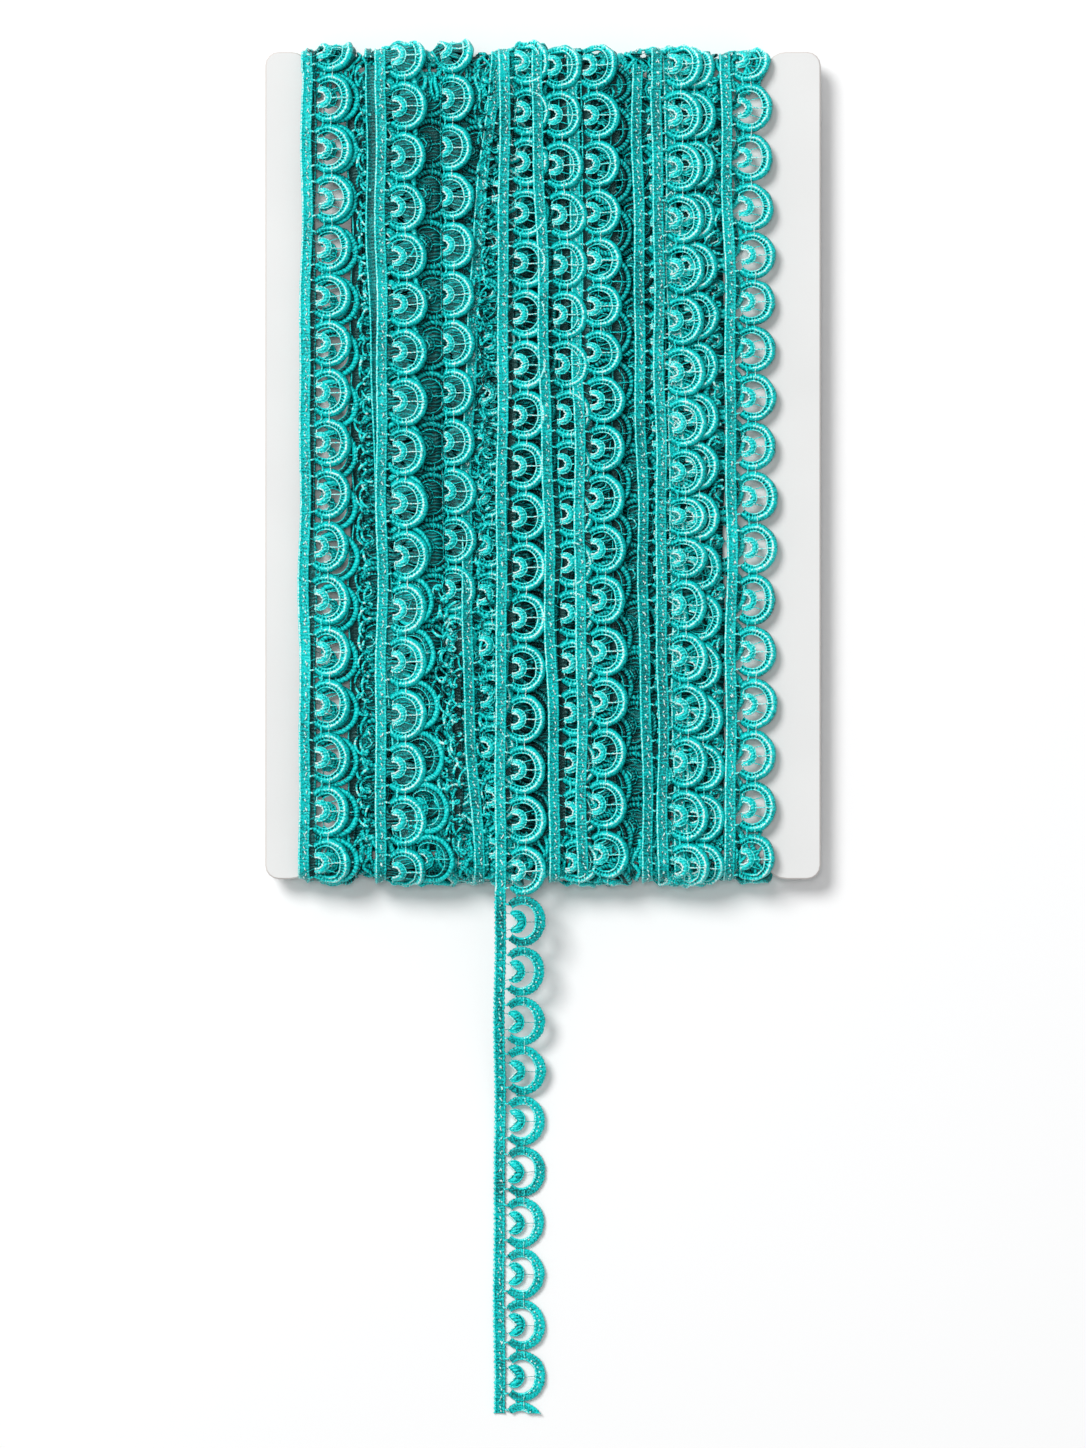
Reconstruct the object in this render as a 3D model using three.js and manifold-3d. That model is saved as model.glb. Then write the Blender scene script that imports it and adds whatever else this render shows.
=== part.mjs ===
// A card of crochet lace trim: a narrow scalloped edging wound many times round a flat white
// card with notched ends, with its last turn running off the lower end as a free length.
// The card lies on its back. Units are millimetres, +Z is up, and +Y runs along the card away
// from the free end. The origin is on the surface, under the middle of the card.
import * as THREE from "three";
import { mergeVertices } from "three/addons/utils/BufferGeometryUtils.js";
import Module from "manifold-3d";

const wasm = await Module();
wasm.setup();

// The card: two end flanges joined by a web, which the trim is wound round.
const CARD_WIDTH = 141;
const CARD_LENGTH = 210;
const CARD_THICKNESS = 2.5;
const CARD_CORNER = 3.5;
const CARD_BEVEL = 0.35;
const NOTCH_LEFT = -64.1; // where the end's edge starts to curve down into the notch
const NOTCH_RIGHT = 61.8;
const NOTCH_DEPTH = 4;
const NOTCH_SHOULDER = 5.5; // radius of that curve

// The trim: a heading with a row of scallops, each an open ring round a small fan.
const TRIM_THICKNESS = 1.2;
const RING_CENTRE = 7.1; // from the heading's outer edge
const RING_RADIUS = 6;
const RING_HALF_SWEEP = 1.3; // radians of the ring that show as one scallop
const VALLEY = 7.9; // from the heading's outer edge to the notch between scallops
const GAP_OUTER = 3.7;
const GAP_INNER = 2.3;
const GAP_HALF_SWEEP = 1.75; // radians
// Arc steps of a scallop and of the two sides of its gap.
const WOUND_STEPS = { scallop: 4, outer: 5, inner: 3 };
const FREE_STEPS = { scallop: 8, outer: 8, inner: 6 };

// The wound form, which is as thick behind the card as in front of it.
const WOUND_THICKNESS = 13;
const CARD_MIDDLE = WOUND_THICKNESS / 2;
const WOUND_REACH = 106; // from the card's middle to the wound form's end
const WOUND_ROUND = 4.8;
const CORE_LEFT = -60.8;
const CORE_RIGHT = 50;
const FOLD_RIGHT = 56.2; // the folds over the card's ends reach this far
const FOLD_START = 99; // and begin this far from the card's middle
const CORE_TOP = 11.2;
const CORE_BOTTOM = 1.2;
const CLEARANCE = 0.3;
const GAP_REACH = 98; // gaps nearer the ends are closed, where the trim turns over

// The turns that show on the front, lower ones first. Heading: x of the heading's outer edge
// at the far end, the middle and the near end. Level: height of the top face. First and pitch
// place the scallops: y of the far one, and the step to the next. Open: whether its gaps show.
// End: y where it dips under its neighbours, if it does so before the near end.
const FRONT_TURNS = [
  { name: "under_left", heading: [-58.6, -57.9, -57.6], level: 11.9, first: 98.9, pitch: 12.8, open: false },
  { name: "under_two", heading: [-44.5, -42.5, -35.3], level: 11.8, first: 102.6, pitch: 13.1, open: true },
  { name: "under_three", heading: [-17.6, -18.6, -17.2], level: 11.4, first: 99.5, pitch: 12.8, open: false },
  { name: "under_right", heading: [30.4, 31.8, 33.2], level: 12.1, first: 101.2, pitch: 12.7, open: false },
  { name: "free_edge", heading: [44.5, 46.3, 45.8], level: 11.4, first: 103.1, pitch: 12.68, open: true },
  { name: "third", heading: [-31.0, -29.6, -28.4], level: 12.3, first: 105.0, pitch: 12.41, open: true, end: -27 },
  { name: "sixth", heading: [5.8, 7.7, 8.6], level: 12.4, first: 101.0, pitch: 12.49, open: true },
  { name: "seventh", heading: [22.3, 23.6, 25.4], level: 12.6, first: 98.0, pitch: 12.7, open: false },
  { name: "left_edge", heading: [-60.9, -60.9, -60.9], level: 12.5, first: 105.7, pitch: 12.91, open: true },
  { name: "second", heading: [-42.6, -42.2, -42.6], level: 13.0, first: 103.5, pitch: 12.92, open: true },
  { name: "eighth", heading: [27.1, 28.4, 29.0], level: 13.0, first: 101.2, pitch: 12.7, open: true },
  { name: "fifth", heading: [-3.3, -0.3, 1.7], level: 12.7, first: 101.0, pitch: 12.6, open: true },
];
// The last turn lies over the others, stops short of the near end and runs on as the free length.
const LAST_TURN = {
  name: "last",
  heading: [-11.2, -11.8, -12.2],
  level: 12.9,
  first: 101.9,
  pitch: 12.8,
  open: true,
  end: -101,
};

// Behind the card the turns lie side by side, plain.
const BACK_TURNS = 9;
const BACK_LEFT = -60.9;
const BACK_PITCH = 13.3;
const BACK_WIDTH = 12.7;

// The free length: it leaves level with the last turn, comes down to the surface and lies on it.
const FREE_START = LAST_TURN.end - CLEARANCE;
const FREE_END = -241.5;
const FREE_FLAT_START = -178;
const FREE_TOP = LAST_TURN.level;

const TRIM_MATERIAL = new THREE.MeshStandardMaterial({ color: 0x12aaa6, roughness: 0.5, metalness: 0 });
const CARD_MATERIAL = new THREE.MeshStandardMaterial({ color: 0xe9e9e8, roughness: 0.55, metalness: 0 });

// A closed geometry as a solid that can be joined and cut.
function solidOf(geometry) {
  const bare = new THREE.BufferGeometry();
  bare.setAttribute("position", geometry.getAttribute("position").clone());
  if (geometry.index) bare.setIndex(geometry.index.clone());
  const merged = mergeVertices(bare, 1e-4);
  return new wasm.Manifold(
    new wasm.Mesh({
      numProp: 3,
      vertProperties: new Float32Array(merged.getAttribute("position").array),
      triVerts: new Uint32Array(merged.index.array),
    }),
  );
}

function geometryOf(solid) {
  const mesh = solid.getMesh();
  const geometry = new THREE.BufferGeometry();
  geometry.setAttribute("position", new THREE.BufferAttribute(new Float32Array(mesh.vertProperties), 3));
  geometry.setIndex(new THREE.BufferAttribute(new Uint32Array(mesh.triVerts), 1));
  geometry.computeVertexNormals();
  return geometry;
}

function box(low, high) {
  const size = high.map((value, axis) => value - low[axis]);
  const geometry = new THREE.BoxGeometry(...size);
  geometry.translate(...low.map((value, axis) => value + size[axis] / 2));
  return solidOf(geometry);
}

function extruded(shape, bottom, top) {
  const geometry = new THREE.ExtrudeGeometry(shape, { depth: top - bottom, bevelEnabled: false });
  geometry.translate(0, 0, bottom);
  return geometry;
}

function arc(x, y, radius, from, to, steps) {
  return Array.from({ length: steps + 1 }, (_, step) => {
    const angle = from + ((to - from) * step) / steps;
    return new THREE.Vector2(x + radius * Math.cos(angle), y + radius * Math.sin(angle));
  });
}

// The card's outline, grown by a margin when it is used to cut the wound form.
function cardShape(margin) {
  const quarter = Math.PI / 2;
  const corner = CARD_CORNER + margin;
  const cornerX = CARD_WIDTH / 2 - CARD_CORNER;
  const cornerY = CARD_LENGTH / 2 - CARD_CORNER;
  const shoulder = NOTCH_SHOULDER + margin;
  const shoulderY = CARD_LENGTH / 2 - NOTCH_SHOULDER;
  const sweep = Math.acos((shoulder - NOTCH_DEPTH) / shoulder);
  const farEnd = [
    ...arc(cornerX, cornerY, corner, 0, quarter, 4),
    ...arc(NOTCH_RIGHT, shoulderY, shoulder, quarter, quarter + sweep, 4),
    ...arc(NOTCH_LEFT, shoulderY, shoulder, quarter - sweep, quarter, 4),
    ...arc(-cornerX, cornerY, corner, quarter, 2 * quarter, 4),
  ];
  const nearEnd = farEnd.map((point) => new THREE.Vector2(point.x, -point.y)).reverse();
  return new THREE.Shape([...farEnd, ...nearEnd]);
}

function cardGeometry() {
  const geometry = new THREE.ExtrudeGeometry(cardShape(0), {
    depth: CARD_THICKNESS - 2 * CARD_BEVEL,
    bevelThickness: CARD_BEVEL,
    bevelSize: CARD_BEVEL,
    bevelOffset: -CARD_BEVEL,
    bevelSegments: 1,
  });
  geometry.translate(0, 0, CARD_MIDDLE - CARD_THICKNESS / 2 + CARD_BEVEL);
  return geometry;
}

// A rounded block along X between two heights: what a turn at that level is trimmed to.
function woundBlock(left, right, bottom, top) {
  const reach = WOUND_REACH - (WOUND_THICKNESS - top) * 0.9;
  const quarter = Math.PI / 2;
  const roundY = reach - WOUND_ROUND;
  const low = bottom + WOUND_ROUND;
  const high = top - WOUND_ROUND;
  const section = new THREE.Shape([
    ...arc(roundY, high, WOUND_ROUND, 0, quarter, 4),
    ...arc(-roundY, high, WOUND_ROUND, quarter, 2 * quarter, 4),
    ...arc(-roundY, low, WOUND_ROUND, 2 * quarter, 3 * quarter, 4),
    ...arc(roundY, low, WOUND_ROUND, 3 * quarter, 4 * quarter, 4),
  ]);
  const geometry = new THREE.ExtrudeGeometry(section, { depth: right - left, bevelEnabled: false });
  geometry.applyMatrix4(
    new THREE.Matrix4().makeBasis(
      new THREE.Vector3(0, 1, 0),
      new THREE.Vector3(0, 0, 1),
      new THREE.Vector3(1, 0, 0),
    ),
  );
  geometry.translate(left, 0, 0);
  return solidOf(geometry);
}

// x of a turn's heading edge at y, on the curve through its three places.
function headingAt(turn, y) {
  const [far, middle, near] = turn.heading;
  const t = y / (CARD_LENGTH / 2);
  return middle + ((far - near) / 2) * t + ((far + near) / 2 - middle) * t * t;
}

function scallopCentres(turn, low, high) {
  const centres = [];
  for (let y = turn.first; y > low - RING_RADIUS; y -= turn.pitch) {
    if (y < high + RING_RADIUS) centres.push(new THREE.Vector2(headingAt(turn, y) + RING_CENTRE, y));
  }
  return centres;
}

// The trim's outline from y = high down to y = low: straight heading, scalloped edge, and the
// long gap of each ring for the centres between gapLow and gapHigh.
function trimShape(turn, low, high, gapLow, gapHigh, steps) {
  const centres = scallopCentres(turn, low, high);
  const headingSteps = 6;
  const left = Array.from({ length: headingSteps + 1 }, (_, step) => {
    const y = high + ((low - high) * step) / headingSteps;
    return new THREE.Vector2(headingAt(turn, y), y);
  });
  const inside = (point) => point.y > low + 0.05 && point.y < high - 0.05;
  const right = [new THREE.Vector2(headingAt(turn, low) + VALLEY, low)];
  for (const centre of [...centres].reverse()) {
    const scallop = arc(centre.x, centre.y, RING_RADIUS, -RING_HALF_SWEEP, RING_HALF_SWEEP, steps.scallop);
    right.push(...scallop.filter(inside));
  }
  right.push(new THREE.Vector2(headingAt(turn, high) + VALLEY, high));
  const shape = new THREE.Shape([...left, ...right]);
  shape.holes = centres
    .filter((centre) => turn.open && centre.y > gapLow && centre.y < gapHigh)
    .map(
      (centre) =>
        new THREE.Path([
          ...arc(centre.x, centre.y, GAP_OUTER, -GAP_HALF_SWEEP, GAP_HALF_SWEEP, steps.outer),
          ...arc(centre.x, centre.y, GAP_INNER, GAP_HALF_SWEEP, -GAP_HALF_SWEEP, steps.inner),
        ]),
    );
  return shape;
}

function frontTurn(turn) {
  const beyond = WOUND_REACH + 2;
  const low = turn.end ?? -beyond;
  const gapLow = Math.max(-GAP_REACH, low + RING_RADIUS);
  const shape = trimShape(turn, low, beyond, gapLow, GAP_REACH, WOUND_STEPS);
  const prism = solidOf(extruded(shape, CARD_MIDDLE, WOUND_THICKNESS + 1));
  return prism.intersect(woundBlock(-CARD_WIDTH / 2, CARD_WIDTH / 2, CORE_BOTTOM, turn.level));
}

function backTurns() {
  const block = woundBlock(-CARD_WIDTH / 2, CARD_WIDTH / 2, 0, CARD_MIDDLE + WOUND_ROUND);
  return Array.from({ length: BACK_TURNS }, (_, index) => {
    const left = BACK_LEFT + index * BACK_PITCH;
    return block.intersect(
      box([left, -WOUND_REACH - 2, -1], [left + BACK_WIDTH, WOUND_REACH + 2, CARD_MIDDLE]),
    );
  });
}

// All turns as one wound form, cut clear of the card and thinned where it overhangs a flange.
function woundGeometry() {
  const core = woundBlock(CORE_LEFT, CORE_RIGHT, CORE_BOTTOM, CORE_TOP);
  const turns = [...FRONT_TURNS, LAST_TURN].map(frontTurn).concat(backTurns());
  const cardFace = CARD_THICKNESS / 2 + CLEARANCE;
  const slot = solidOf(extruded(cardShape(CLEARANCE), CARD_MIDDLE - cardFace, CARD_MIDDLE + cardFace));
  const overhangFloor = FRONT_TURNS.find((turn) => turn.name === "free_edge").level - TRIM_THICKNESS;
  const far = CARD_WIDTH;
  const cuts = [
    slot,
    box([CORE_RIGHT + 1, -FOLD_START, TRIM_THICKNESS], [far, FOLD_START, overhangFloor]),
    box([FOLD_RIGHT, -far, TRIM_THICKNESS], [far, far, overhangFloor]),
  ];
  const whole = turns.reduce((sum, turn) => sum.add(turn), core);
  return geometryOf(cuts.reduce((rest, cut) => rest.subtract(cut), whole));
}

// Height of the free length's underside at y.
function freeUnderside(y) {
  const root = FREE_TOP - TRIM_THICKNESS;
  const t = THREE.MathUtils.clamp((y - FREE_FLAT_START) / (FREE_START - FREE_FLAT_START), 0, 1);
  return root * t * t * (3 - 2 * t);
}

function freeGeometry() {
  const gapLow = FREE_END + RING_RADIUS;
  const gapHigh = FREE_START - RING_RADIUS;
  const shape = trimShape(LAST_TURN, FREE_END, FREE_START, gapLow, gapHigh, FREE_STEPS);
  const geometry = extruded(shape, 0, TRIM_THICKNESS);
  const position = geometry.getAttribute("position");
  for (let index = 0; index < position.count; index++) {
    position.setZ(index, position.getZ(index) + freeUnderside(position.getY(index)));
  }
  geometry.computeVertexNormals();
  return geometry;
}

function part(name, geometry, material) {
  const mesh = new THREE.Mesh(geometry, material);
  mesh.name = name;
  return mesh;
}

const group = new THREE.Group();
group.add(
  part("card", cardGeometry(), CARD_MATERIAL),
  part("wound_trim", woundGeometry(), TRIM_MATERIAL),
  part("free_length", freeGeometry(), TRIM_MATERIAL),
);

export default group;
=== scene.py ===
# A card of crochet lace trim lying on a pale floor, seen from straight above.
# The lace is one repeat of cords, mapped along the route of each turn round the card.
# Lengths are in millimetres until they reach a mesh. u runs along the trim, v across it from
# the heading's outer edge, and w out of its face. s is the length along a turn's route.
import math

import bmesh
import bpy
import numpy as np
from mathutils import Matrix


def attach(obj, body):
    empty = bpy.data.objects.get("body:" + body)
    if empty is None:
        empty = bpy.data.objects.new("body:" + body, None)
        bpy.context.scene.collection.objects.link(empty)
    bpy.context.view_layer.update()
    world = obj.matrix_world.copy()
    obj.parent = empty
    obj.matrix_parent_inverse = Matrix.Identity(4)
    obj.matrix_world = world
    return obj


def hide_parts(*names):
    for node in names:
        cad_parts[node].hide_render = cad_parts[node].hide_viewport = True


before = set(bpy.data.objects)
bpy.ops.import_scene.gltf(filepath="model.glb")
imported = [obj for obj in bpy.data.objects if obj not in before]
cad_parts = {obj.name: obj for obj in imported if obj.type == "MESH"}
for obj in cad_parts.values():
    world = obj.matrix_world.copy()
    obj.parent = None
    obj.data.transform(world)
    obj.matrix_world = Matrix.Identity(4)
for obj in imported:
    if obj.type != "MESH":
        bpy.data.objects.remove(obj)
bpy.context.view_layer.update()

MM = 0.001
# The length of a repeat, the width of the trim, and v at the middle of a ring.
REPEAT = 12.8
TRIM_WIDTH = 13.1
RING_V = 7.06
# The angle where a ring begins to flatten towards the heading, the angle over which it does, and
# the radius that its ribs are measured on.
STRIP_START = 1.4
STRIP_BLEND = 0.4
RIB_RADIUS = 5.2
# How detailed a repeat is, as its place in the list LACE.
COARSE_DETAIL = 0
BACK_DETAIL = 1
FRONT_DETAIL = 2
WEBBED_DETAIL = 3


def linear(red, green, blue):
    """An sRGB colour from 0 to 255 as a linear colour."""
    values = [c / 255 for c in (red, green, blue)]
    return tuple(c / 12.92 if c <= 0.04045 else ((c + 0.055) / 1.055) ** 2.4 for c in values) + (1.0,)


# The repeat of lace


# Each point's tone is its brightness within the thread's one colour. Apart from a small random draw per
# repeat, the tones are painted light: high on raised cords, rims and crests as painted highlight, and low in
# grooves, undersides, webs and turns that lie beneath as painted shade.
class Lace:
    """Cords, pads and rings gathered into one mesh, such as that of a single repeat."""

    def __init__(self):
        self.verts = []
        self.faces = []
        self.yarn = []
        self.tone = []
        self.element = []
        self.starts = []
        self.ends = []
        self.count = 0
        self.elements = 0

    def add(self, verts, faces, yarn, tone):
        """More points and faces, as part of the element that is being made."""
        first = self.count
        self.verts.append(verts)
        self.faces.append(np.asarray(faces) + first)
        self.yarn.append(yarn)
        self.tone.append(np.zeros(len(verts)) + tone)
        self.element.append(np.full(len(verts), self.elements))
        self.count += len(verts)
        return first

    def skin(self, rings, length, cos, sin, tone, through=False):
        """A closed skin over rings of points, each going inner side, top, outer side, underside.

        A skin that runs through to the next repeat has no end caps.
        """
        count, sides = rings.shape[:2]
        yarn = np.stack(np.broadcast_arrays(length[:, None], cos, sin), axis=-1).reshape(-1, 3)
        step, corner = np.meshgrid(np.arange(count - 1), np.arange(sides), indexing="ij")
        here = step * sides + corner
        beside = step * sides + (corner + 1) % sides
        faces = [
            np.stack([here, here + sides, beside + sides], -1).reshape(-1, 3),
            np.stack([here, beside + sides, beside], -1).reshape(-1, 3),
        ]
        if not through:
            fan = np.arange(1, sides - 1)
            last = (count - 1) * sides
            faces.append(np.stack([np.zeros_like(fan), fan, fan + 1], -1))
            faces.append(np.stack([np.full_like(fan, last), last + fan + 1, last + fan], -1))
        tone = np.broadcast_to(tone, (count, sides)).ravel()
        first = self.add(rings.reshape(-1, 3), np.concatenate(faces), yarn, tone)
        if through:
            self.starts.append(first + np.arange(sides))
            self.ends.append(first + (count - 1) * sides + np.arange(sides))

    def cord(self, points, radius, sides, tone, squash=1.0, through=False):
        """A tube along points."""
        points = np.asarray(points, float)
        radius = np.broadcast_to(np.asarray(radius, float), (len(points),))
        along = np.gradient(points, axis=0)
        along /= np.linalg.norm(along, axis=1, keepdims=True)
        side = np.cross(along, [0.0, 0.0, 1.0])
        side /= np.maximum(np.linalg.norm(side, axis=1, keepdims=True), 1e-9)
        up = np.cross(side, along)
        length = np.concatenate([[0], np.cumsum(np.linalg.norm(np.diff(points, axis=0), axis=1))])
        if through:
            length *= REPEAT / length[-1]
        angle = 2 * np.pi * (np.arange(sides) + 0.5) / sides
        cos, sin = np.cos(angle), np.sin(angle)
        rings = points[:, None] + radius[:, None, None] * (
            cos[None, :, None] * side[:, None] + squash * sin[None, :, None] * up[:, None]
        )
        self.skin(rings, length, cos[None, :], sin[None, :], tone, through)

    def ring_body(self, theta, radii, profile):
        """A ring's body from its section. Profile rows: radius, offset from it, height, tone, ribs."""
        rings = []
        tones = []
        strips = np.clip((np.abs(theta) - STRIP_START) / STRIP_BLEND, 0, 1)
        sunk = 0.0 if profile is FREE_SECTION else 0.45
        # Towards the heading the strips sink and lose tone; the lost tone is painted shade.
        for name, offset, height, tone, _ in profile:
            rings.append(ring_point(theta, radii[name] + offset, height - sunk * strips))
            tones.append(tone * (1 - (0.45 if tone > 1 else 0.25) * strips))
        ribs = np.array([row[4] for row in profile])
        length = theta * RIB_RADIUS
        self.skin(np.stack(rings, 1), length, ribs[None, :], 0.0, np.stack(tones, 1))

    def pad(self, mouth, back, rows, height, tone):
        """A domed pad between two edges, closed by the same pad turned over."""
        share = np.linspace(0, 1, rows + 1)[None, :, None]
        flat = mouth[:, None] * (1 - share) + back[:, None] * share
        across = np.linspace(-1, 1, len(mouth))[:, None]
        dome = height * np.sin(np.pi * share[..., 0]) ** 0.7 * (1 - np.abs(across) ** 3)
        columns = rows + 1
        for sign in (1, -1):
            verts = flat.copy()
            verts[..., 2] += sign * dome
            twist = 1.6 * verts[..., 1]
            yarn = np.stack([verts[..., 0], np.cos(twist), np.sin(twist)], axis=-1).reshape(-1, 3)
            step, row = np.meshgrid(np.arange(len(mouth) - 1), np.arange(rows), indexing="ij")
            here = (step * columns + row).ravel()
            faces = np.concatenate(
                [
                    np.stack([here, here + columns, here + columns + 1], -1),
                    np.stack([here, here + columns + 1, here + 1], -1),
                ]
            )
            self.add(verts.reshape(-1, 3), faces[:, ::sign], yarn, tone)

    def element_done(self):
        """The end of an element, which shifts as one when the repeats are laid."""
        self.elements += 1

    def part(self):
        """The mesh as it stands, without its repeats."""
        return tuple(np.concatenate(side) for side in (self.verts, self.faces, self.yarn, self.tone))

    def finish(self):
        """The repeat with each of its lists as one array."""
        for name in ("verts", "faces", "yarn", "tone", "element", "starts", "ends"):
            setattr(self, name, np.concatenate(getattr(self, name)))
        return self


def line(*points, steps=1):
    """A straight or bent run of points with the given steps in each stretch."""
    points = np.asarray(points, float)
    share = np.linspace(0, 1, steps + 1)[:-1, None]
    runs = [points[i] * (1 - share) + points[i + 1] * share for i in range(len(points) - 1)]
    return np.concatenate(runs + [points[-1:]])


def ring_point(theta, radius, w):
    """A point of a ring at an angle from the direction away from the heading."""
    return np.stack([radius * np.sin(theta), RING_V + radius * np.cos(theta), w + 0 * theta], -1)


# A ring's section. Columns: the radius it is placed by, offset from it, height, tone, strength
# of the ribs across it. The tones are painted light: near white on the rim and crest tops as painted
# highlight, and low in the groove and underneath as painted shade.
WOUND_SECTION = (
    ("inner", 0.0, -0.4, 0.35, 0.2),
    ("inner", -0.06, 0.14, 0.8, 0.2),
    ("inner", 0.14, 0.46, 1.45, 0.3),
    ("inner", 0.34, 0.16, 0.5, 0.7),
    ("groove", 0.0, -0.06, 0.34, 2.0),
    ("crest", -0.4, 0.3, 0.6, 1.2),
    ("crest", -0.16, 0.7, 1.25, 0.9),
    ("crest", 0.06, 0.78, 1.45, 0.8),
    ("crest", 0.34, 0.56, 0.7, 0.5),
    ("outer", -0.3, 0.34, 0.48, 0.2),
    ("outer", 0.02, -0.12, 0.42, 0.15),
    ("crest", 0.0, -0.6, 0.1, 0.0),
)
FREE_SECTION = (
    ("inner", 0.0, -0.25, 0.4, 0.2),
    ("inner", -0.05, 0.1, 0.9, 0.2),
    ("inner", 0.2, 0.3, 1.3, 0.3),
    ("inner", 0.5, 0.16, 0.55, 0.5),
    ("crest", -0.2, 0.2, 0.52, 0.3),
    ("crest", 0.35, 0.26, 0.56, 0.3),
    ("outer", -0.5, 0.22, 0.6, 0.3),
    ("outer", -0.1, 0.04, 0.8, 0.4),
    ("outer", 0.0, -0.25, 0.4, 0.2),
)
# The heading's section. Columns: across, height, tone, strength of the ribs. The tones are painted light:
# near white on the raised outer edge as painted highlight, and low underneath as painted shade.
HEADING_SECTION = (
    (0.0, -0.15, 0.4, 0.3),
    (0.04, 0.18, 0.7, 0.4),
    (0.28, 0.42, 1.4, 0.5),
    (0.54, 0.14, 0.46, 0.4),
    (1.45, 0.1, 0.4, 0.4),
    (2.2, 0.1, 0.34, 0.4),
    (2.56, 0.26, 0.72, 0.7),
    (2.88, 0.03, 0.46, 0.5),
    (2.7, -0.3, 0.2, 0.0),
    (0.3, -0.38, 0.2, 0.0),
)
# Stitches down the heading, in two loose groups, toned near white as painted highlights. Columns:
# along, across, half the length, slant.
STITCHES = (
    (
        (-5.4, 1.7, 0.42, 0.2),
        (-3.6, 1.4, 0.2, -0.1),
        (-1.2, 1.8, 0.5, 0.25),
        (1.6, 1.6, 0.28, 0.15),
        (4.4, 1.9, 0.45, -0.2),
    ),
    (
        (-4.6, 2.0, 0.22, 0.1),
        (-2.4, 1.6, 0.34, 0.22),
        (0.2, 1.4, 0.2, -0.15),
        (2.9, 1.9, 0.4, 0.2),
        (5.6, 1.5, 0.24, 0.1),
    ),
)
# How loosely each part of a repeat lies: heading, ring, fan, brides and the two groups of
# stitches. Columns: along, across, out of the face.
LOOSENESS = (
    (0.0, 0.0, 0.0),
    (0.07, 0.09, 0.05),
    (0.09, 0.12, 0.05),
    (0.02, 0.03, 0.015),
    (0.7, 0.1, 0.0),
    (0.7, 0.1, 0.0),
)


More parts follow.
